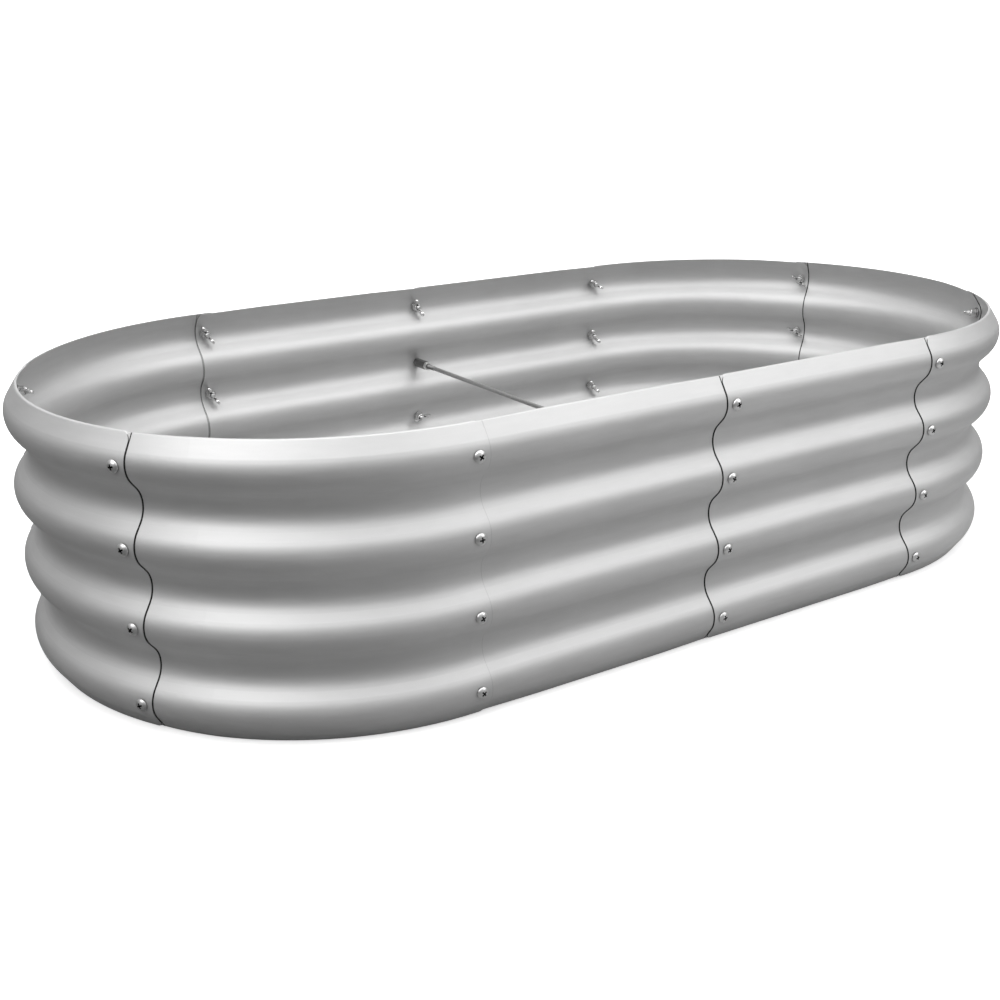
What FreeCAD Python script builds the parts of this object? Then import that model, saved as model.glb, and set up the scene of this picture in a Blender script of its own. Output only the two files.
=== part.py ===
import FreeCAD
import Part

import math
import os

# Oval raised garden bed: ten corrugated sheet-steel panels lapped and bolted
# into one open ring, with a cross brace between the two long sides.
# Millimetres. Origin on the ground at the centre of the ring, +X along the
# bed, -Y to the front, +Z up.

# ---- plan of the ring ------------------------------------------------------
half_straight = 300.0        # middle of a long side to where the end starts to turn
end_radius = 311.5           # outermost crest of the half-round ends
panels_per_end = 3           # curved panels that make up each half-round end
panels_per_side = 2          # straight panels that make up each long side

# ---- corrugated section ----------------------------------------------------
sheet = 0.8                  # thickness of the coated steel sheet
pitch = 76.0                 # crest to crest
depth = 18.0                 # crest to valley
flank_angle = 42.0           # slope of the flanks from the vertical, degrees
bumps = 4                    # crests in the height of a panel
rim_angle = 34.0             # slope of the last flank, up to the rim or down to the foot
rim_flank = 16.8             # straight length of that flank
rim_bend = 1.8               # outer radius of the turned-in edge
rim_lip = 1.4                # flat lip at the end of the turned-in edge

# ---- laps between the panels -----------------------------------------------
lap_edge = 11.5              # bolt line to the cut end of a panel
lap_gap = 0.05               # air left between the two sheets of a lap
lap_margin = 1.0             # how far the set-in end reaches past the outer panel
spring_length = 60.0         # length over which a set-in end springs back out
corner_radius = 10.0         # rounded corners of every panel
corner_nip = 0.3             # the rounding runs out this far past the straight edges
bolt_hole = 7.0              # holes through the crests of a lap

# ---- pan-head screws -------------------------------------------------------
thread = 6.0                 # thread of every screw, nut and rod end
thread_fit = 0.02            # air round a thread in its nut
screw_length = 15.0          # under the head to the tip
screw_chamfer = 0.8          # bevel at the tip
head_diameter = 12.0
head_height = 4.0
head_edge = 1.3              # upright edge of the head below its dome

# ---- washers and wing nuts -------------------------------------------------
washer_diameter = 13.0
washer_hole = 6.6
washer_thickness = 1.5
seat_gap = 0.02              # air under a washer or nut that spans the hollow
hub_base = 11.6              # wing nut hub where it meets the washer
hub_top = 9.4
hub_height = 7.0
wing_span = 27.0             # tip to tip
wing_height = 14.0           # washer face to the top of the wings
wing_tip = 3.8               # radius of the rounded wing ends
wing_thickness = 2.3
wing_root = 1.0              # height at which the wings leave the hub
wing_turn = 37.0             # usual lean of the wings from the vertical, degrees
wing_turn_spread = 13.0      # nuts stop up to this far either side of that
wing_turn_step = 67.0        # how the stops vary from one nut to the next

# ---- cross brace -----------------------------------------------------------
brace_crest = 2              # crest that carries the brace, counted from the ground
rod_diameter = 5.2           # shank of the brace rod
rod_thread_length = 32.0     # threaded length at each end of the rod
coupling_across = 10.0       # hexagon of the coupling nut, flat to flat
coupling_length = 26.0
jam_nut_across = 10.0
jam_nut_thickness = 5.0
rod_clearance = 2.0          # screw tip to rod end inside the coupling nut

# ---- what follows from the sizes above -------------------------------------
flank = math.radians(flank_angle)
last_flank = math.radians(rim_angle)
crest_bend = ((pitch / 2 * math.tan(flank) - depth) * math.cos(flank)
              / (2 * (1 - math.cos(flank))))
rim_rise = (crest_bend * math.sin(last_flank) + rim_flank * math.cos(last_flank)
            + rim_bend * (1 - math.sin(last_flank)))
rim_bend_reach = (crest_bend * (1 - math.cos(last_flank))
                  + rim_flank * math.sin(last_flank) + rim_bend * math.cos(last_flank))
rim_reach = rim_bend_reach + rim_lip
bed_height = 2 * rim_rise + (bumps - 1) * pitch
crest_heights = [rim_rise + row * pitch for row in range(bumps)]
set_in = sheet + lap_gap
half_turn = math.pi * end_radius
ring_length = 4 * half_straight + 2 * half_turn
hollow_depth = sheet + set_in
hollow_radius = crest_bend - hollow_depth
UP = FreeCAD.Vector(0, 0, 1)

# Ring stations are lengths along the outermost crest, from the middle of the
# front side towards +X. The ring changes between straight and round here.
tangent_stations = [-half_straight, half_straight, half_straight + half_turn,
                    3 * half_straight + half_turn, 3 * half_straight + 2 * half_turn]


def vector(x, y, z):
    return FreeCAD.Vector(x, y, z)


def turning(station):
    """Centre and angle of a station on a half-round end, or None on a side."""
    left_start = tangent_stations[3]
    if station < -half_straight:
        return -half_straight, -math.pi / 2 + (station + half_straight) / end_radius
    if half_straight < station < half_straight + half_turn:
        return half_straight, -math.pi / 2 + (station - half_straight) / end_radius
    if left_start < station < tangent_stations[4]:
        return -half_straight, math.pi / 2 + (station - left_start) / end_radius
    return None


def ring_frame(station):
    """Point on the crest line at the ground, outward normal and forward tangent."""
    turn = turning(station)
    if turn:
        centre, angle = turn
        normal = vector(math.cos(angle), math.sin(angle), 0)
        return vector(centre, 0, 0) + normal * end_radius, normal, UP.cross(normal)
    if half_straight < station <= tangent_stations[3]:
        along = tangent_stations[3] - station - half_straight
        return vector(along, end_radius, 0), vector(0, 1, 0), vector(-1, 0, 0)
    along = station if station <= half_straight else station - ring_length
    return vector(along, -end_radius, 0), vector(0, -1, 0), vector(1, 0, 0)


# ---- corrugated panels -----------------------------------------------------

def skin(offset):
    """One face of the sheet, foot to rim: (start, middle, end) or (start, end)
    steps in (out, up), offset inward from the outer face."""

    def on(centre, radius, angle):
        return centre[0] + radius * math.cos(angle), centre[1] + radius * math.sin(angle)

    def arc(centre, radius, start, end):
        return tuple(on(centre, radius, angle) for angle in (start, (start + end) / 2, end))

    quarter = math.pi / 2
    bend = rim_bend - offset
    foot_centre = (-rim_bend_reach, rim_bend)
    rim_centre = (-rim_bend_reach, bed_height - rim_bend)
    bends = [arc(foot_centre, bend, -quarter, -last_flank)]
    for row, height in enumerate(crest_heights):
        low = -flank if row > 0 else -last_flank
        top = flank if row < bumps - 1 else last_flank
        bends.append(arc((-crest_bend, height), crest_bend - offset, low, top))
        if row < bumps - 1:
            hollow = (crest_bend - depth, height + pitch / 2)
            bends.append(arc(hollow, crest_bend + offset, math.pi + flank, math.pi - flank))
    bends.append(arc(rim_centre, bend, last_flank, quarter))
    lip_end = -rim_reach
    steps = [((lip_end, bends[0][0][1]), bends[0][0])]
    for near, far in zip(bends, bends[1:]):
        steps += [near, (near[-1], far[0])]
    return steps + [bends[-1], (bends[-1][-1], (lip_end, bends[-1][-1][1]))]


def section(station, inward):
    """Closed outline of the sheet at a station, set inward by some amount."""
    origin, normal, _ = ring_frame(station)

    def place(point):
        return origin + normal * point[0] + UP * point[1]

    outer = skin(inward)
    inner = [tuple(reversed(step)) for step in reversed(skin(inward + sheet))]
    rim_end = (outer[-1][-1], inner[0][0])
    foot_end = (inner[-1][-1], outer[0][0])
    edges = []
    for step in outer + [rim_end] + inner + [foot_end]:
        points = [place(point) for point in step]
        if len(points) == 3:
            edges.append(Part.Arc(*points).toShape())
        else:
            edges.append(Part.LineSegment(*points).toShape())
    return Part.Wire(edges)


def sweep(start, end, inward):
    """Sheet between two stations, split where the ring starts or stops turning."""
    cuts = [start] + [s for s in tangent_stations if start < s < end] + [end]
    solids = []
    for low, high in zip(cuts, cuts[1:]):
        middle = (low + high) / 2
        turn = turning(middle)
        if turn:
            face = Part.Face(section_on(low, middle, inward))
            degrees = math.degrees((high - low) / end_radius)
            solids.append(face.revolve(vector(turn[0], 0, 0), UP, degrees))
        else:
            face = Part.Face(section(low, inward))
            solids.append(face.extrude(ring_frame(middle)[2] * (high - low)))
    return solids


def section_on(station, beside, inward):
    """Section at a station that may lie exactly where the ring starts to turn."""
    nudge = 1e-9 if beside > station else -1e-9
    return section(station + nudge, inward)


def spring(start, start_inward, end, end_inward):
    """Stretch over which a set-in end springs back to the line of the ring."""
    spans = 4 if turning((start + end) / 2) else 1
    wires = []
    for index in range(spans + 1):
        share = index / spans
        inward = start_inward + (end_inward - start_inward) * share
        wires.append(section(start + (end - start) * share, inward))
    return Part.makeLoft(wires, True, spans == 1)


def join(pieces):
    """One solid from stretches that meet face to face."""
    faces = [face for piece in pieces for face in piece.Faces]
    spots = [face.CenterOfMass for face in faces]
    skins = [face for face, spot in zip(faces, spots)
             if sum(spot.isEqual(other, lap_gap / 10) for other in spots) == 1]
    shell = Part.makeShell(skins)
    shell.sewShape()
    return Part.Solid(shell)


def corner_cutter(station, direction, upper):
    """What is cut away to round one corner: direction is +1 at the end of a panel."""
    origin, normal, tangent = ring_frame(station)
    setback = corner_radius - corner_nip
    away = tangent * direction
    lift = UP if upper else UP * -1
    edge = UP * (bed_height if upper else 0)
    centre = origin + edge - (away + lift) * setback - normal * (rim_reach + 2 * sheet)
    block = corner_radius + sheet
    outline = [centre, centre + away * block, centre + (away + lift) * block,
               centre + lift * block, centre]
    cutter = Part.Face(Part.makePolygon(outline)).extrude(normal * rim_reach)
    return cutter.cut(Part.makeCylinder(corner_radius, rim_reach, centre, normal))


def bolt_drills(station):
    """Drills for the bolt holes of one seam."""
    origin, normal, _ = ring_frame(station)
    reach = 2 * hollow_depth
    return [Part.makeCylinder(bolt_hole / 2, 2 * reach,
                              origin + UP * height - normal * reach, normal)
            for height in crest_heights]


def panel(start_seam, end_seam, start_outside, end_outside):
    """One panel from seam to seam. Where it lies under its neighbour its end is
    set in by the sheet's thickness and springs back out beyond the lap."""
    start = start_seam - lap_edge
    end = end_seam + lap_edge
    tuck = 2 * lap_edge + lap_margin
    pieces = []
    low, high = start, end
    if not start_outside:
        pieces += sweep(start, start + tuck, set_in)
        low = start + tuck + spring_length
        pieces.append(spring(start + tuck, set_in, low, 0))
    if not end_outside:
        high = end - tuck - spring_length
        pieces.append(spring(high, 0, end - tuck, set_in))
        pieces += sweep(end - tuck, end, set_in)
    pieces += sweep(low, high, 0)
    tools = bolt_drills(start_seam) + bolt_drills(end_seam)
    for upper in (False, True):
        tools.append(corner_cutter(start, -1, upper))
        tools.append(corner_cutter(end, 1, upper))
    return join(pieces).cut(tools).Solids[0]


# ---- fasteners, each built with its axis up and its seat at the origin ------

def lay(shape, origin, outward, turn=0.0):
    """Turn a piece about its axis, then point that axis outward at an origin."""
    side = outward.cross(UP)
    matrix = FreeCAD.Matrix(
        UP.x, side.x, outward.x, origin.x,
        UP.y, side.y, outward.y, origin.y,
        UP.z, side.z, outward.z, origin.z,
        0, 0, 0, 1)
    placed = shape.copy()
    placed.Placement = FreeCAD.Placement(matrix).multiply(
        FreeCAD.Placement(vector(0, 0, 0), FreeCAD.Rotation(UP, turn)))
    return placed


def revolved(points, arcs=()):
    """Solid of revolution from (radius, height) points; arcs maps a step's index
    to the point that its arc passes through."""
    edges = []
    for index, (near, far) in enumerate(zip(points, points[1:] + points[:1])):
        ends = [vector(near[0], 0, near[1]), vector(far[0], 0, far[1])]
        if index in arcs:
            through = vector(arcs[index][0], 0, arcs[index][1])
            edges.append(Part.Arc(ends[0], through, ends[1]).toShape())
        else:
            edges.append(Part.LineSegment(*ends).toShape())
    return Part.Face(Part.Wire(edges)).revolve(vector(0, 0, 0), UP, 360)


def pan_head_screw():
    """Pan-head machine screw, head outward, seat at the origin."""
    shank, rim = thread / 2, head_diameter / 2
    dome = head_height - head_edge
    dome_radius = (rim ** 2 + dome ** 2) / (2 * dome)
    half_angle = math.asin(rim / dome_radius) / 2
    middle = (dome_radius * math.sin(half_angle),
              head_height - dome_radius * (1 - math.cos(half_angle)))
    points = [(0, head_height), (rim, head_edge), (rim, 0), (shank, 0),
              (shank, screw_chamfer - screw_length),
              (shank - screw_chamfer, -screw_length), (0, -screw_length)]
    return revolved(points, {0: middle})


def washer():
    """Plain washer, lying on the inward side of its seat."""
    seat = vector(0, 0, 0)
    disc = Part.makeCylinder(washer_diameter / 2, washer_thickness, seat, UP * -1)
    return disc.cut(Part.makeCylinder(washer_hole / 2, washer_thickness, seat, UP * -1))


def touch(point, centre, radius, side):
    """Where the line from a point touches a circle, on the side given by +1 or -1."""
    across, along = centre[0] - point[0], centre[1] - point[1]
    reach = math.hypot(across, along)
    angle = math.atan2(along, across) + side * (math.pi / 2 - math.acos(radius / reach))
    length = math.sqrt(reach ** 2 - radius ** 2)
    return point[0] + length * math.cos(angle), point[1] + length * math.sin(angle)


def wing():
    """One rounded ear of a wing nut, in the plane of local X, growing inward."""
    root = thread / 2 + (hub_top - thread) / 4
    tip = (wing_span / 2 - wing_tip, wing_height - wing_tip)
    low, high = (root, wing_root), (root, hub_height)
    under = touch(low, tip, wing_tip, -1)
    over = touch(high, tip, wing_tip, 1)
    lean = math.atan2(tip[1] - hub_height / 2, tip[0])
    outermost = (tip[0] + wing_tip * math.cos(lean), tip[1] + wing_tip * math.sin(lean))

    def at(point):
        return vector(point[0], -wing_thickness / 2, -point[1])

    edges = [Part.LineSegment(at(low), at(under)).toShape(),
             Part.Arc(at(under), at(outermost), at(over)).toShape(),
             Part.LineSegment(at(over), at(high)).toShape(),
             Part.LineSegment(at(high), at(low)).toShape()]
    return Part.Face(Part.Wire(edges)).extrude(vector(0, wing_thickness, 0))


def wing_nut():
    """Tapered hub with two ears, tapped right through."""
    hub = Part.makeCone(hub_base / 2, hub_top / 2, hub_height, vector(0, 0, 0), UP * -1)
    ear = wing()
    other = ear.copy()
    other.rotate(vector(0, 0, 0), UP, 180)
    bore = Part.makeCylinder(thread / 2 + thread_fit, wing_height,
                             vector(0, 0, 0), UP * -1)
    return hub.multiFuse([ear, other]).cut(bore)


def hexagon_nut(across, length):
    """Hexagon with two flats level and bevelled ends, tapped right through."""
    corner = across / math.sqrt(3)
    points = [vector(corner * math.sin(math.pi / 3 * k + math.pi / 2),
                     0, 0) + vector(0, corner * math.cos(math.pi / 3 * k + math.pi / 2), 0)
              for k in range(7)]
    prism = Part.Face(Part.makePolygon(points)).extrude(UP * -length)
    bevel = corner - across / 2
    slope = bevel / math.sqrt(3)
    turned = revolved([(0, 0), (across / 2, 0), (corner, -slope),
                       (corner, slope - length), (across / 2, -length), (0, -length)])
    bore = Part.makeCylinder(thread / 2 + thread_fit, length, vector(0, 0, 0), UP * -1)
    return prism.common(turned).cut(bore)


def bridge_drop(half_width):
    """How far a flat piece stands off the hollow behind a crest that it spans."""
    return hollow_radius - math.sqrt(hollow_radius ** 2 - half_width ** 2) + seat_gap


# ---- the ring, seam by seam ------------------------------------------------

arc_step = half_turn / panels_per_end
side_step = 2 * half_straight / panels_per_side
seams = {
    "front_middle": 0.0,
    "front_right": half_straight,
    "right_end_front": half_straight + arc_step,
    "right_end_rear": half_straight + 2 * arc_step,
    "rear_right": half_straight + half_turn,
    "rear_middle": half_straight + half_turn + side_step,
    "rear_left": 3 * half_straight + half_turn,
    "left_end_rear": 3 * half_straight + half_turn + arc_step,
    "left_end_front": 3 * half_straight + half_turn + 2 * arc_step,
    "front_left": 3 * half_straight + 2 * half_turn,
}

# Each panel with the seams it runs between, and whether it lies outside there.
panels = {
    "front_right_side_panel": ("front_middle", "front_right", True, False),
    "right_front_corner_panel": ("front_right", "right_end_front", True, True),
    "right_end_panel": ("right_end_front", "right_end_rear", False, True),
    "right_rear_corner_panel": ("right_end_rear", "rear_right", False, True),
    "rear_right_side_panel": ("rear_right", "rear_middle", False, True),
    "rear_left_side_panel": ("rear_middle", "rear_left", False, False),
    "left_rear_corner_panel": ("rear_left", "left_end_rear", True, True),
    "left_end_panel": ("left_end_rear", "left_end_front", False, True),
    "left_front_corner_panel": ("left_end_front", "front_left", False, True),
    "front_left_side_panel": ("front_left", "front_middle", False, False),
}


def save(name, solids):
    shape = solids[0] if len(solids) == 1 else Part.makeCompound(solids)
    shape.exportStep(os.path.join("parts", name + ".step"))


def make_panels():
    for name, (start, end, start_outside, end_outside) in panels.items():
        start_station, end_station = seams[start], seams[end]
        if end_station < start_station:
            end_station += ring_length
        if end_station > ring_length:
            start_station -= ring_length
            end_station -= ring_length
        save(name, [panel(start_station, end_station, start_outside, end_outside)])


def make_seam(number, name):
    """Screws, washers and wing nuts of one seam. The middle seams carry the brace
    on one crest, whose coupling nut takes the place of a washer and a wing nut."""
    origin, normal, _ = ring_frame(seams[name])
    washer_seat = hollow_depth + bridge_drop(washer_diameter / 2)
    nut_seat = washer_seat + washer_thickness
    screws, washers, nuts = [], [], []
    for row, height in enumerate(crest_heights):
        place = origin + UP * height
        count = number * bumps + row
        screws.append(lay(screw_shape, place, normal))
        if name.endswith("middle") and row == brace_crest:
            continue
        lean = wing_turn + wing_turn_spread * math.sin(count * wing_turn_step)
        washers.append(lay(washer_shape, place - normal * washer_seat, normal))
        nuts.append(lay(wing_nut_shape, place - normal * nut_seat, normal, -lean))
    save("screws_" + name, screws)
    save("washers_" + name, washers)
    save("wing_nuts_" + name, nuts)


def make_brace():
    """Rod across the bed, screwed into a coupling nut at each long side and
    locked there by a jam nut."""
    height = crest_heights[brace_crest]
    seat = hollow_depth + bridge_drop(coupling_across / 2)
    half_rod = end_radius - screw_length - rod_clearance
    shank = half_rod - rod_thread_length
    start = vector(0, -half_rod, height)
    along = vector(0, 1, 0)
    rod = Part.makeCylinder(thread / 2, rod_thread_length, start, along)
    middle = Part.makeCylinder(rod_diameter / 2, 2 * shank,
                               vector(0, -shank, height), along)
    far = Part.makeCylinder(thread / 2, rod_thread_length,
                            vector(0, shank, height), along)
    save("brace_rod", [rod.multiFuse([middle, far])])
    coupling = hexagon_nut(coupling_across, coupling_length)
    jam = hexagon_nut(jam_nut_across, jam_nut_thickness)
    for side, name in (("front", "front_middle"), ("rear", "rear_middle")):
        origin, normal, _ = ring_frame(seams[name])
        place = origin + UP * height - normal * seat
        save("brace_coupling_nut_" + side, [lay(coupling, place, normal)])
        jam_place = place - normal * coupling_length
        save("brace_jam_nut_" + side, [lay(jam, jam_place, normal)])


os.makedirs("parts", exist_ok=True)
screw_shape = pan_head_screw()
washer_shape = washer()
wing_nut_shape = wing_nut()
make_panels()
for number, name in enumerate(seams):
    make_seam(number, name)
make_brace()
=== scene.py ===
import math

import bmesh
import bpy
from mathutils import Matrix, Vector


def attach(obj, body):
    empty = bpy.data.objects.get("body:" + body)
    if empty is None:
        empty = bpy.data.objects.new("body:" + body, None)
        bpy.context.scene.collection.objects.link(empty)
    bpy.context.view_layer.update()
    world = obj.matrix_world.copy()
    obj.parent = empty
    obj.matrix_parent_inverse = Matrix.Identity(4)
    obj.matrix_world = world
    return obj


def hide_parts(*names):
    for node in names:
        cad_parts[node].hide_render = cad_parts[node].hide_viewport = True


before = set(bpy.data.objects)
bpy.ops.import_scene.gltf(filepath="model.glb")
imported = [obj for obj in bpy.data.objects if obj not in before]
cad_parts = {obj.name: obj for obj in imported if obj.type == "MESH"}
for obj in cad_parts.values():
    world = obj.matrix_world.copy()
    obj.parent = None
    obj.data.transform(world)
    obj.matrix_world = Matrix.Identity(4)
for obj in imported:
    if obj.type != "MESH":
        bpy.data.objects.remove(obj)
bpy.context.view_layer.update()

# ---- Camera -----------------------------------------------------------------
# The photograph is taken from the front left, a little above the rim, with a
# slightly long lens whose axis points below the middle of the frame.

MM = 0.001
IMAGE_SIZE = 1000.0
SENSOR = 36.0
camera_azimuth = math.radians(-33.147)
camera_elevation = math.radians(22.034)
camera_roll = math.radians(-0.541)
camera_place = Vector((-881.88, -1213.08, 588.49)) * MM
focal_pixels = 1301.188
axis_pixel = (487.428, 566.124)


def camera_matrix():
    level = math.cos(camera_elevation)
    back = Vector((math.sin(camera_azimuth) * level, -math.cos(camera_azimuth) * level,
                   math.sin(camera_elevation)))
    right = (-back).cross(Vector((0, 0, 1))).normalized()
    up = right.cross(-back)
    across = right * math.cos(camera_roll) + up * math.sin(camera_roll)
    upward = up * math.cos(camera_roll) - right * math.sin(camera_roll)
    turn = Matrix((across, upward, back)).transposed()
    return Matrix.Translation(camera_place) @ turn.to_4x4()


lens = bpy.data.cameras.new("camera")
lens.sensor_width = SENSOR
lens.lens = SENSOR * focal_pixels / IMAGE_SIZE
lens.shift_x = 0.5 - axis_pixel[0] / IMAGE_SIZE
lens.shift_y = axis_pixel[1] / IMAGE_SIZE - 0.5
camera = bpy.data.objects.new("camera", lens)
camera.matrix_world = camera_matrix()
bpy.context.scene.collection.objects.link(camera)
bpy.context.scene.camera = camera
bpy.context.scene.view_settings.view_transform = "Standard"

# ---- Floor and light ---------------------------------------------------------
# A plain white studio: a large pale floor, a broad soft light overhead and two
# smaller ones from the front. The metal reflects a room that is brighter above,
# and a floor that is darker to the left.

floor_size = 40.0
floor_pale = 0.80
floor_lift = 0.46                    # glow near the bed, as the camera sees it
floor_in_bed = 0.36                  # as the metal sees the floor, and so below
floor_in_metal_left, floor_in_metal_right = 0.06, 0.42
floor_beyond_right = 0.16
white_reach = (0.80, 1.30)           # metres over which one level meets the next
bed_reach = (0.25, 0.6)
side_reach = (-0.9, 0.5)
beyond_reach = (0.6, 1.1)
room_low, room_high = 0.26, 0.70
room_rise = (0.0, 0.9)
room_seen = 1.1
lights = {                           # place, aim, size and watts
    "overhead": ((0.1, 0.0, 1.8), (0, 0, 0), (3.4, 2.6), 37),
    "front_left": ((-1.75, -0.5, 1.75), (-0.3, 0, 0.1), (1.4, 1.2), 17),
    "front_right": ((1.6, -1.5, 1.6), (0.2, 0, 0.1), (1.8, 1.4), 13)}


class Field:
    """A value that varies over a surface; arithmetic on it adds the nodes."""

    def __init__(self, tree, socket=None):
        self.tree = tree
        self.socket = socket

    def make(self, kind, settings=(), inputs=(), output=0):
        """Adds a node with these properties and these socket values or links."""
        node = self.tree.nodes.new(kind)
        for key, value in dict(settings).items():
            setattr(node, key, value)
        for key, value in dict(inputs).items():
            if isinstance(value, Field):
                self.tree.links.new(value.socket, node.inputs[key])
            else:
                node.inputs[key].default_value = value
        return Field(self.tree, node.outputs[output] if len(node.outputs) else None)

    def maths(self, operation, *values):
        return self.make("ShaderNodeMath", {"operation": operation}, enumerate(values))

    def vector(self, operation, *values, output=0):
        return self.make("ShaderNodeVectorMath", {"operation": operation},
                         enumerate(values), output)

    def __add__(self, other):
        return self.maths("ADD", self, other)

    def __sub__(self, other):
        return self.maths("SUBTRACT", self, other)

    def __mul__(self, other):
        return self.maths("MULTIPLY", self, other)

    def __rsub__(self, other):
        return self.maths("SUBTRACT", other, self)

    __radd__ = __add__
    __rmul__ = __mul__

    def __neg__(self):
        return 0.0 - self

    def __abs__(self):
        return self.maths("ABSOLUTE", self)

    def axis(self, name):
        """One coordinate of a vector."""
        return self.make("ShaderNodeSeparateXYZ", inputs={0: self}, output="XYZ".index(name))

    def blend(self, low, high):
        """Colour that goes from low to high as this value goes from 0 to 1."""
        return self.make("ShaderNodeMix", {"data_type": "RGBA"},
                         {0: self, 6: low, 7: high}, output=2)

    def between(self, low, high):
        """0 at or below low, 1 at or above high, smooth between."""
        return self.make("ShaderNodeMapRange", {"interpolation_type": "SMOOTHSTEP"},
                         {0: self, 1: low, 2: high})


def colour(level, tint=(1.0, 1.0, 1.0)):
    return tuple(level * part for part in tint) + (1.0,)


def new_material(name):
    """A material with its tree emptied, and the field that adds nodes to it."""
    material = bpy.data.materials.new(name)
    material.use_nodes = True
    material.node_tree.nodes.clear()
    return material, Field(material.node_tree)


def finish_material(field, shader):
    field.make("ShaderNodeOutputMaterial", inputs={"Surface": shader})


def make_floor():
    mesh = bpy.data.meshes.new("floor")
    half = floor_size / 2
    corners = [(-half, -half, 0), (half, -half, 0), (half, half, 0), (-half, half, 0)]
    mesh.from_pydata(corners, [], [(0, 1, 2, 3)])
    floor = bpy.data.objects.new("floor", mesh)
    bpy.context.scene.collection.objects.link(floor)
    material, field = new_material("floor_pale")
    ray = field.make("ShaderNodeLightPath", output="Is Camera Ray")
    glossy = field.make("ShaderNodeLightPath", output="Is Glossy Ray")
    place = field.make("ShaderNodeTexCoord", output="Object")
    reach = field.vector("LENGTH", place, output="Value")
    in_metal = place.axis("X").between(*side_reach).blend(
        colour(floor_in_metal_left), colour(floor_in_metal_right))
    in_metal = place.axis("X").between(*beyond_reach).blend(
        in_metal, colour(floor_beyond_right))
    in_metal = reach.between(*bed_reach).blend(colour(floor_in_bed), in_metal)
    matt = field.make("ShaderNodeBsdfDiffuse", inputs={
        "Color": glossy.blend(colour(floor_pale), in_metal)})
    lift = reach.between(*white_reach).blend(colour(floor_lift), colour(1.0))
    glow = field.make("ShaderNodeEmission", inputs={"Color": ray.blend(colour(0.0), lift)})
    finish_material(field, field.make("ShaderNodeAddShader", inputs={0: matt, 1: glow}))
    mesh.materials.append(material)


def make_room():
    """Dim at eye level and brighter overhead; plain white to the camera."""
    world = bpy.data.worlds.new("room")
    world.use_nodes = True
    world.node_tree.nodes.clear()
    field = Field(world.node_tree)
    ray = field.make("ShaderNodeLightPath", output="Is Camera Ray")
    height = field.make("ShaderNodeTexCoord", output="Generated").axis("Z")
    level = height.between(*room_rise).blend(colour(room_low), colour(room_high))
    shader = field.make("ShaderNodeBackground", inputs={
        "Color": ray.blend(level, colour(room_seen))})
    field.make("ShaderNodeOutputWorld", inputs={"Surface": shader})
    bpy.context.scene.world = world


def soft_light(name, place, aim, size, watts):
    light = bpy.data.lights.new(name, "AREA")
    light.shape = "RECTANGLE"
    light.size, light.size_y = size
    light.energy = watts
    item = bpy.data.objects.new(name, light)
    place, aim = Vector(place), Vector(aim)
    item.location = place
    item.rotation_euler = (aim - place).to_track_quat("-Z", "Y").to_euler()
    item.visible_camera = False
    bpy.context.scene.collection.objects.link(item)


make_floor()
make_room()
for light_name, light_values in lights.items():
    soft_light(light_name, *light_values)

# ---- Corrugated panels --------------------------------------------------------
# Ten roll-formed steel sheets with a thin satin silver-grey metallic coating,
# lapped and bolted into a ring. The coating shows a fine grain and soft
# patches. The sheared ends show bare steel painted darker with shade, and a
# painted shade line lies in the gap beside each lap.

end_centre = 300.0 * MM              # middle of the bed to the centre of a round end
crest_radius = 311.5 * MM
coat_low, coat_high = 0.58, 0.64
coat_metallic = 0.85
coat_rough, rough_spread, sheared_rough = 0.51, 0.12, 0.2
# painted shade: darkened bare steel on the sheared ends, and the colour of the lap gaps
bare_steel_and_shade, lap_shade_colour = 0.10, 0.025
patch_scale, grain_scale, rolled_scale = 7.0, 1400.0, 30.0
patch_share, grain_share, rolled_share = 0.5, 0.2, 0.3
rolled_stretch = (1, 1, 7)
bump_strength, bump_height, bump_grain = 0.25, 0.5 * MM, 0.2
noise_range = (0.3, 0.7)             # a noise seldom leaves this
end_facing = (0.6, 0.8)              # how far a sheared end looks along the ring
lap_edge = 11.5 * MM                 # bolt line to the cut end of a panel
gap_line, gap_feather = 1.1 * MM, 0.2 * MM
end_seam_step = math.pi / 3          # between the seams of a round end
end_seam_shift = 7 * math.pi / 6     # turns their angles into multiples of the step
end_seam_reach = (0.24, 0.25)        # Y that parts them from the seams of the sides
tight_share = 0.85                   # the lap at the front left is almost closed, so its painted shade line is fainter, from this far left and forward
tight_reach = (0.0, 0.1)             # which holds from this far left and forward
rear_share = 0.5                     # the rear left lap's painted shade line is paler from inside
rear_reach = (0.2, 0.201)


def noise(field, place, scale, detail=2.0, stretch=(1, 1, 1)):
    spot = field.make("ShaderNodeMapping", inputs={"Vector": place, "Scale": stretch})
    return field.make("ShaderNodeTexNoise", inputs={
        "Vector": spot, "Scale": scale, "Detail": detail})


def from_spine(field, place):
    """Level vector from the line between the two end centres."""
    x = place.axis("X")
    beside = abs(x) - end_centre
    turned = beside.maths("MAXIMUM", beside, 0.0) * x.maths("SIGN", x)
    return field.make("ShaderNodeCombineXYZ", inputs={0: turned, 1: place.axis("Y")})


# The sheared ends are coloured as bare steel, painted darker with shade.
def sheared_end(outward, facing):
    """1 on the sheared ends of a sheet, whose faces look along the ring."""
    along = outward.vector("CROSS_PRODUCT", outward.vector("NORMALIZE", outward), (0, 0, 1))
    return abs(along.vector("DOT_PRODUCT", along, facing, output="Value")).between(*end_facing)


def gap_beside(distance):
    """1 on a thin painted shade line just beyond the cut end of a panel."""
    far = lap_edge + gap_line
    return distance.between(lap_edge - gap_feather, lap_edge) * (
        1 - distance.between(far, far + gap_feather))


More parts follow.
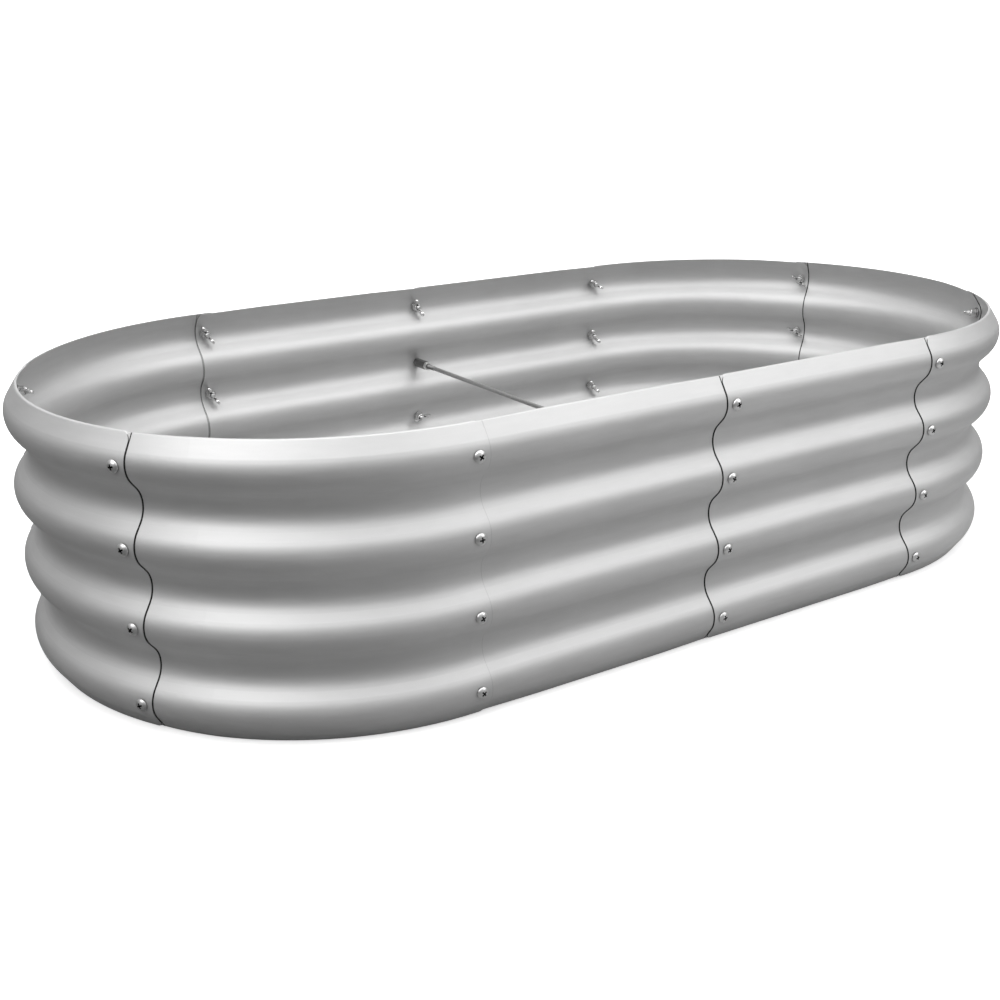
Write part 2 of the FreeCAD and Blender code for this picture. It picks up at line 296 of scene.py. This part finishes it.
def lap_shadow(place, outward, facing):
    """1 on the painted shade line in the gap beside the panel that lies on top, outside and
    inside the bed.
    """
    x, y = place.axis("X"), place.axis("Y")
    side = outward.vector("DOT_PRODUCT", outward, facing, output="Value")
    outside = side.between(0.0, 0.01)
    inside = 1 - side.between(-0.01, 0.0)

    tight = (-x).between(*tight_reach) * (-y).between(*tight_reach)
    straight = gap_beside(-x) + gap_beside(end_centre - abs(x)) * (1 - tight_share * tight)
    angle = y.maths("ARCTAN2", y, outward.axis("X")) + end_seam_shift
    beyond = angle.maths("MODULO", angle, end_seam_step)
    ends = (1 - abs(y).between(*end_seam_reach)) * (
        abs(x).between(end_centre, end_centre + 1 * MM))
    round_outside = gap_beside(beyond * crest_radius) * ends
    round_inside = gap_beside((end_seam_step - beyond) * crest_radius) * ends
    rear = y.between(*rear_reach) * gap_beside(-end_centre - x) * rear_share
    return (straight + round_outside) * outside + (round_inside + rear) * inside


def coated_sheet():
    material, field = new_material("satin_coated_sheet")
    place = field.make("ShaderNodeTexCoord", output="Object")
    facing = field.make("ShaderNodeNewGeometry", output="True Normal")
    outward = from_spine(field, place)
    patches = noise(field, place, patch_scale, 3.0)
    grain = noise(field, place, grain_scale)
    rolled = noise(field, place, rolled_scale, 2.0, rolled_stretch)
    end = sheared_end(outward, facing)
    gap = lap_shadow(place, outward, facing)
    tone = patches * patch_share + grain * grain_share + rolled * rolled_share
    bump = field.make("ShaderNodeBump", inputs={
        "Strength": bump_strength, "Distance": bump_height,
        "Height": grain * bump_grain + patches * (1 - bump_grain)})
    coat = tone.between(*noise_range).blend(colour(coat_low), colour(coat_high))
    # The base colour paints shade: bare steel darkened on the sheared ends, and a dark line in
    # the gap beside each lap.
    shader = field.make("ShaderNodeBsdfPrincipled", inputs={
        "Base Color": gap.blend(end.blend(coat, colour(bare_steel_and_shade)), colour(lap_shade_colour)),
        "Metallic": coat_metallic,
        "Roughness": coat_rough + tone * rough_spread + end * sheared_rough,
        "Normal": bump})
    finish_material(field, shader)
    return material


coating = coated_sheet()
for node_name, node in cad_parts.items():
    if node_name.endswith("panel"):
        node.data.materials.clear()
        node.data.materials.append(coating)

# ---- Screws -------------------------------------------------------------------
# Forty zinc-plated pan-head machine screws, M6 x 15, with a cross recess. Each
# goes through a crest of a lap from outside, and each stopped at its own turn.

rows = range(4)                      # crests of a seam, from the ground up
lowest_crest, crest_pitch = 27.84, 76.0
crest_heights = [(lowest_crest + crest_pitch * row) * MM for row in rows]
seam_places = {                      # centre of the turn along X, degrees
    "front_middle": (0.0, -90), "front_right": (end_centre, -90),
    "right_end_front": (end_centre, -30), "right_end_rear": (end_centre, 30),
    "rear_right": (end_centre, 90), "rear_middle": (0.0, 90),
    "rear_left": (-end_centre, 90), "left_end_rear": (-end_centre, 150),
    "left_end_front": (-end_centre, 210), "front_left": (-end_centre, 270),
}
thread_radius = 3.0 * MM
thread_groove, groove_power = 0.42 * MM, 0.8
thread_pitch = 1.0 * MM
rings_a_pitch = 6
screw_length, screw_bevel = 15.0 * MM, 0.8 * MM
thread_shown = 9.5 * MM              # from here under the head down to the tip
head_radius, head_height = 6.0 * MM, 4.0 * MM
head_edge, head_round = 1.3 * MM, 0.45 * MM
head_foot, foot_rise = 0.3 * MM, 0.55 * MM
dome_rings = 9
recess_reach, recess_root = 3.6 * MM, 1.1 * MM
recess_width, recess_floor_width = 0.85 * MM, 0.5 * MM
recess_depth, cutter_rise = 2.6 * MM, 0.3 * MM
below_skin = 0.02 * MM               # a face deeper than this is in the recess
shade_height = 0.6 * MM              # painted shade under the edge of the head
sharp_angle = math.radians(38)
cloud_scale, fine_scale, fine_stretch = 260.0, 2400.0, (1, 1, 3)
cloud_share = 0.6
scratch_strength, scratch_height = 0.25, 0.08 * MM
plating_uneven = 0.14
plating_tint = (1.0, 1.0, 0.99)
# painted shade in corners: how far it reaches, and the darkest share of the tone
corner_shade_reach, corner_shade = 3.5 * MM, 0.12
corner_shade_open = (0.25, 0.85)            # how open a corner is between full painted shade and none
recess_turns = {                     # as in the photograph, degrees by crest
    "left_end_front": (20, 50, 30, 12), "front_left": (40, 25, 5, 55),
    "front_middle": (8, 35, 62, 18), "front_right": (12, 48, 28, 70)}
recess_seam_step, recess_row_step = 37, 23    # made up for the other seams
weld = 1e-7


def seat(seam, row, inward=0.0, turn=0.0):
    """Local X up the sheet and Z outward, on a crest of a seam."""
    centre, direction = seam_places[seam]
    angle = math.radians(direction)
    outward = Vector((math.cos(angle), math.sin(angle), 0))
    up = Vector((0, 0, 1))
    place = Vector((centre, 0, crest_heights[row])) + outward * (crest_radius - inward)
    turned = Matrix((up, outward.cross(up), outward)).transposed().to_4x4()
    return Matrix.Translation(place) @ turned @ Matrix.Rotation(turn, 4, "Z")


def ring(radius, height, around):
    return [Vector((radius * math.cos(2 * math.pi * k / around),
                    radius * math.sin(2 * math.pi * k / around), height))
            for k in range(around)]


def turned_mesh(rings, closed_ends=True):
    """Skin over rings of points; each ring goes round once and all have as many."""
    form = bmesh.new()
    levels = [[form.verts.new(point) for point in points] for points in rings]
    count = len(levels[0])
    for low, high in zip(levels, levels[1:]):
        for k in range(count):
            form.faces.new((low[k], low[(k + 1) % count], high[(k + 1) % count], high[k]))
    if closed_ends:
        form.faces.new(levels[0][::-1])
        form.faces.new(levels[-1])
    return form


def looped_mesh(rings):
    """Skin over rings whose last joins the first, so that the bore stays open."""
    form = turned_mesh(rings + rings[:1], closed_ends=False)
    bmesh.ops.remove_doubles(form, verts=form.verts, dist=weld)
    return form


def thread_rings(low, high, around):
    """Rings whose points rise and fall as a single helical thread, from low up."""
    rings = []
    count = max(1, round((high - low) / thread_pitch * rings_a_pitch))
    for j in range(count + 1):
        height = low + (high - low) * j / count
        points = []
        for k in range(around):
            phase = (height / thread_pitch - k / around) % 1.0
            groove = thread_groove * (1 - abs(2 * phase - 1)) ** groove_power
            angle = 2 * math.pi * k / around
            radius = thread_radius - groove
            points.append(Vector((radius * math.cos(angle), radius * math.sin(angle), height)))
        rings.append(points)
    return rings


def mesh_of(form, name):
    bmesh.ops.recalc_face_normals(form, faces=form.faces)
    mesh = bpy.data.meshes.new(name)
    form.to_mesh(mesh)
    form.free()
    return mesh


def settled(mesh, modifiers, name):
    """The mesh after these modifiers, each a type with its settings."""
    item = bpy.data.objects.new(name, mesh)
    bpy.context.scene.collection.objects.link(item)
    for kind, settings in modifiers:
        modifier = item.modifiers.new(kind.lower(), kind)
        for key, value in settings.items():
            setattr(modifier, key, value)
    bpy.context.view_layer.update()
    solved = item.evaluated_get(bpy.context.evaluated_depsgraph_get())
    result = bpy.data.meshes.new_from_object(solved)
    bpy.data.objects.remove(item)
    result.name = name
    return result


def cross_outline(reach, width, height):
    """Plus sign of four arms, seen from above."""
    outline = []
    for quarter in range(4):
        turn = Matrix.Rotation(quarter * math.pi / 2, 4, "Z")
        outline += [turn @ Vector((width, -width, height)),
                    turn @ Vector((reach, -width, height)),
                    turn @ Vector((reach, width, height))]
    return outline


def screw_mesh():
    around = 40
    dome = head_height - head_edge
    ball = (head_radius ** 2 + dome ** 2) / (2 * dome)
    dome_edge = math.asin((head_radius - head_round) / ball)
    head = [(thread_radius - thread_groove, 0.0), (head_radius - head_foot, 0.0),
            (head_radius, head_foot), (head_radius, foot_rise),
            (head_radius, head_edge - head_round * 0.6),
            (head_radius - head_round * 0.3, head_edge)]
    for j in range(dome_rings):
        lean = dome_edge * (1 - j / dome_rings)
        head.append((ball * math.sin(lean), head_height - ball * (1 - math.cos(lean))))
    rings = [ring(thread_radius - screw_bevel, -screw_length, around)]
    rings += thread_rings(-screw_length + screw_bevel, -thread_shown, around)
    rings += [ring(radius, height, around) for radius, height in head]
    blank = mesh_of(turned_mesh(rings), "screw_blank")
    cross = [cross_outline(recess_root, recess_floor_width, head_height - recess_depth),
             cross_outline(recess_reach, recess_width, head_height + cutter_rise)]
    cutter = bpy.data.objects.new("cross_cutter", mesh_of(turned_mesh(cross), "cross_cutter"))
    bpy.context.scene.collection.objects.link(cutter)
    cut = settled(blank, [("BOOLEAN", {"operation": "DIFFERENCE", "solver": "EXACT",
                                       "object": cutter})], "pan_head_screw")
    bpy.data.objects.remove(cutter)
    # Painted shade: faces in the cross recess and under the edge of the head get the dark
    # material.
    for face in cut.polygons:
        spot = face.center
        reach = math.hypot(spot.x, spot.y)
        skin = head_height - ball + math.sqrt(ball ** 2 - min(reach, ball) ** 2)
        in_recess = reach < recess_reach and head_edge < spot.z < skin - below_skin
        under_edge = reach > thread_radius and spot.z < shade_height
        face.material_index = 1 if in_recess or under_edge else 0
    return cut


def group(name, shape, places, node, slot, *materials):
    """Copies of one shape at these places, standing for one CAD node."""
    form = bmesh.new()
    for place in places:
        copy = shape.copy()
        copy.transform(place)
        form.from_mesh(copy)
        bpy.data.meshes.remove(copy)
    mesh = bpy.data.meshes.new(name)
    form.to_mesh(mesh)
    form.free()
    mesh.polygons.foreach_set("use_smooth", [True] * len(mesh.polygons))
    mesh.set_sharp_from_angle(angle=sharp_angle)
    for material in materials:
        mesh.materials.append(material)
    piece = bpy.data.objects.new(name, mesh)
    bpy.context.scene.collection.objects.link(piece)
    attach(piece, "root")
    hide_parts(node)


def plated(name, tone, roughness, spread=0.12, metallic=1.0):
    """Plated or oiled steel: uneven tone, fine scratches and painted shade in its corners."""
    material, field = new_material(name)
    place = field.make("ShaderNodeTexCoord", output="Object")
    cloud = noise(field, place, cloud_scale, 3.0)
    fine = noise(field, place, fine_scale, 2.0, fine_stretch)
    mark = cloud * cloud_share + fine * (1 - cloud_share)
    unshaded = mark.between(*noise_range).blend(
        colour(tone * (1 - spread), plating_tint), colour(tone))
    # Painted shade: ambient occlusion darkens the colour in corners and where parts meet.
    open_air = field.make("ShaderNodeAmbientOcclusion", {"samples": 8},
                          {"Distance": corner_shade_reach}, output="AO").between(*corner_shade_open)
    bump = field.make("ShaderNodeBump", inputs={
        "Strength": scratch_strength, "Distance": scratch_height, "Height": fine})
    shader = field.make("ShaderNodeBsdfPrincipled", inputs={
        "Base Color": open_air.blend(colour(tone * corner_shade), unshaded),
        "Metallic": metallic,
        "Roughness": roughness + mark * plating_uneven,
        "Normal": bump})
    finish_material(field, shader)
    return material


screw_shape = screw_mesh()
screw_zinc = plated("bright_zinc_screws", 0.74, 0.23, metallic=0.9)
# Dark material that paints shade in the cross recess and under the edge of the head.
screw_head_shade = plated("painted_shade_on_screw_heads", 0.05, 0.5)
for number, seam in enumerate(seam_places):
    made_up = [(number * recess_seam_step + row * recess_row_step) % 90 for row in rows]
    turns = recess_turns.get(seam, made_up)
    group("pan_heads_" + seam, screw_shape,
          [seat(seam, row, turn=math.radians(turns[row])) for row in rows],
          "screws_" + seam, "zinc_screws", screw_zinc, screw_head_shade)

# ---- Washers --------------------------------------------------------------------
# Plain zinc-plated punched washers, one under each wing nut; they bridge the
# hollow behind a crest. The punch rounds one face and leaves the other sharper.

washer_seat = 2.66 * MM
washer_thickness = 1.5 * MM
washer_radius, washer_hole = 6.5 * MM, 3.3 * MM
washer_round = 0.3 * MM
brace_row = 2                        # crest of the middle seams that has the brace


def free_rows(seam):
    """The crests of a seam whose screws carry a washer and a wing nut."""
    return [row for row in rows if not (seam.endswith("middle") and row == brace_row)]


def washer_mesh():
    around = 48
    t, c = washer_thickness, washer_round
    profile = [(washer_hole, 0), (washer_radius - c / 2, 0), (washer_radius, -c / 2),
               (washer_radius, -t + c), (washer_radius - c * 0.3, -t + c * 0.3),
               (washer_radius - c, -t), (washer_hole + c, -t), (washer_hole, -t + c)]
    return mesh_of(looped_mesh([ring(radius, height, around) for radius, height in profile]),
                   "plain_washer")


washer_shape = washer_mesh()
washer_zinc = plated("zinc_washers", 0.66, 0.2)
for seam in seam_places:
    group("plain_washers_" + seam, washer_shape,
          [seat(seam, row, washer_seat) for row in free_rows(seam)],
          "washers_" + seam, "zinc_washers", washer_zinc)

# ---- Wing nuts ------------------------------------------------------------------
# Cast zinc-plated wing nuts: a tapered hub with two rounded ears that run into
# it with soft roots. Hand-tightened inside the bed, most lean the same way.

nut_seat = washer_seat + washer_thickness
hub_base, hub_top, hub_height = 5.8 * MM, 4.7 * MM, 7.0 * MM
hub_bore, hub_round = 3.06 * MM, 0.7 * MM
ear_tip = 3.8 * MM                   # radius of an ear's round tip, and its centre
ear_tip_place = (9.7 * MM, 8.9 * MM)
tip_start, tip_step, tip_points = -62.0, 19.5, 13
ear_root, ear_root_low, ear_root_drop = 3.85 * MM, 1.0 * MM, 0.4 * MM
ear_thick_root, ear_thick_tip = 1.75 * MM, 1.15 * MM
cast_grain, cast_smoothing, cast_rounds = 0.42 * MM, 0.5, 3
usual_lean, lean_spread, lean_step = 37.0, 13.0, 67.0
seen_leans = {                       # nuts that the photograph shows, degrees by crest
    "rear_left": {3: 31, 2: 30}, "rear_middle": {3: 25, 1: 100},
    "rear_right": {3: 58, 2: 37, 1: 40}, "right_end_rear": {3: 55, 2: 62},
    "right_end_front": {3: 97}, "left_end_rear": {3: 66}}


def ear_outline():
    """Root low, round the tip, root high, as radius and height above the seat."""
    points = [(ear_root, ear_root_low)]
    for k in range(tip_points):
        angle = math.radians(tip_start + k * tip_step)
        points.append((ear_tip_place[0] + ear_tip * math.cos(angle),
                       ear_tip_place[1] + ear_tip * math.sin(angle)))
    points.append((ear_root, hub_height - ear_root_drop))
    return points


def add_ear(form, side):
    """A flat ear on one side of the hub, thinner towards its tip."""
    outline = ear_outline()
    count = len(outline)
    faces = []
    for edge in (-1, 1):
        corners = []
        for reach, height in outline:
            share = (reach - ear_root) / (ear_tip_place[0] + ear_tip - ear_root)
            thick = ear_thick_root + (ear_thick_tip - ear_thick_root) * share
            corners.append(form.verts.new((side * reach, edge * thick, -height)))
        faces.append(corners)
    for k in range(count):
        form.faces.new((faces[0][k], faces[0][(k + 1) % count],
                        faces[1][(k + 1) % count], faces[1][k]))
    form.faces.new(faces[0][::-1])
    form.faces.new(faces[1])


def wing_nut_mesh():
    around = 40
    c = hub_round
    profile = [(hub_bore, 0), (hub_base - c, 0), (hub_base, -c),
               (hub_top, -hub_height + c), (hub_top - c, -hub_height),
               (hub_bore + 0.5 * c, -hub_height), (hub_bore, -hub_height + 0.5 * c)]
    form = looped_mesh([ring(radius, height, around) for radius, height in profile])
    for side in (1, -1):
        add_ear(form, side)
    return settled(mesh_of(form, "wing_nut_blank"), [
        ("REMESH", {"mode": "VOXEL", "voxel_size": cast_grain, "use_smooth_shade": True}),
        ("SMOOTH", {"factor": cast_smoothing, "iterations": cast_rounds})], "wing_nut")


wing_nut_shape = wing_nut_mesh()
wing_zinc = plated("bright_zinc_wing_nuts", 0.82, 0.10)
for number, seam in enumerate(seam_places):
    places = []
    for row in free_rows(seam):
        lean = usual_lean + lean_spread * math.sin((number * len(rows) + row) * lean_step)
        lean = seen_leans.get(seam, {}).get(row, lean)
        places.append(seat(seam, row, nut_seat, -math.radians(lean)))
    group("winged_nuts_" + seam, wing_nut_shape, places, "wing_nuts_" + seam,
          "zinc_wing_nuts", wing_zinc)

# ---- Cross brace -----------------------------------------------------------------
# A bright round steel rod with rolled threads at both ends keeps the long sides
# together. It screws into a dark oiled coupling nut on each side, and a bright
# jam nut locks it there.

coupling_seat = 2.25 * MM
coupling_length, jam_length = 26.0 * MM, 5.0 * MM
across_flats = 10.0 * MM
nut_bore = 3.05 * MM
nut_face_share = 0.97                # turned face of a nut, of its width across flats
nut_bevel_slope = math.tan(math.radians(30))
nut_edge, nut_edge_angle = 0.25 * MM, math.radians(28)
rod_radius = 2.6 * MM
rod_half, rod_thread = 294.5 * MM, 32.0 * MM
rod_bevel, thread_run_out = 0.6 * MM, 0.8 * MM
shank_rings = 12                     # in half the shank


def hexagon_mesh(length, name):
    """Hexagon bar with turned, bevelled ends and a bore, two of its flats level."""
    around = 72
    flat = across_flats / 2
    face = flat * nut_face_share
    hexagon = []
    for k in range(around):
        angle = 2 * math.pi * k / around
        beside = (angle + math.pi / 6) % (math.pi / 3) - math.pi / 6
        hexagon.append((flat / math.cos(beside), angle))

    def wrapped(end, sign):
        return [Vector((radius * math.cos(angle), radius * math.sin(angle),
                        end - sign * (radius - face) * nut_bevel_slope))
                for radius, angle in hexagon]

    form = looped_mesh([ring(nut_bore, 0.0, around), ring(face, 0.0, around),
                        wrapped(0.0, 1), wrapped(-length, -1),
                        ring(face, -length, around), ring(nut_bore, -length, around)])
    return settled(mesh_of(form, name + "_blank"), [
        ("BEVEL", {"width": nut_edge, "segments": 2, "limit_method": "ANGLE",
                   "angle_limit": nut_edge_angle})], name)


def rod_mesh():
    around = 28
    shank = rod_half - rod_thread - thread_run_out
    tip = thread_radius - rod_bevel
    rings = [ring(tip, -rod_half, around)]
    rings += thread_rings(-rod_half + rod_bevel, -rod_half + rod_thread, around)
    rings += [ring(rod_radius, -shank + shank * k / shank_rings, around)
              for k in range(2 * shank_rings + 1)]
    rings += thread_rings(rod_half - rod_thread, rod_half - rod_bevel, around)
    rings += [ring(tip, rod_half, around)]
    mesh = mesh_of(turned_mesh(rings), "threaded_rod")
    for face in mesh.polygons:
        face.material_index = 1 if abs(face.center.z) > shank else 0
    return mesh


oiled_steel = plated("dark_oiled_steel", 0.21, 0.30, 0.3, 0.9)
rod_steel = plated("drawn_rod_steel", 0.38, 0.26, metallic=0.9)
thread_steel = plated("rolled_rod_threads", 0.24, 0.36, metallic=0.9)
long_nut = hexagon_mesh(coupling_length, "long_nut")
lock_nut = hexagon_mesh(jam_length, "lock_nut")
for side in ("front", "rear"):
    seam = side + "_middle"
    group("long_nut_" + side, long_nut, [seat(seam, brace_row, coupling_seat)],
          "brace_coupling_nut_" + side, "dark_steel", oiled_steel)
    group("lock_nut_" + side, lock_nut,
          [seat(seam, brace_row, coupling_seat + coupling_length)],
          "brace_jam_nut_" + side, "zinc_screws", screw_zinc)
along_y = (Matrix.Translation((0, 0, crest_heights[brace_row]))
           @ Matrix.Rotation(math.radians(-90), 4, "X"))
group("threaded_rod", rod_mesh(), [along_y], "brace_rod", "rod_steel", rod_steel,
      thread_steel)
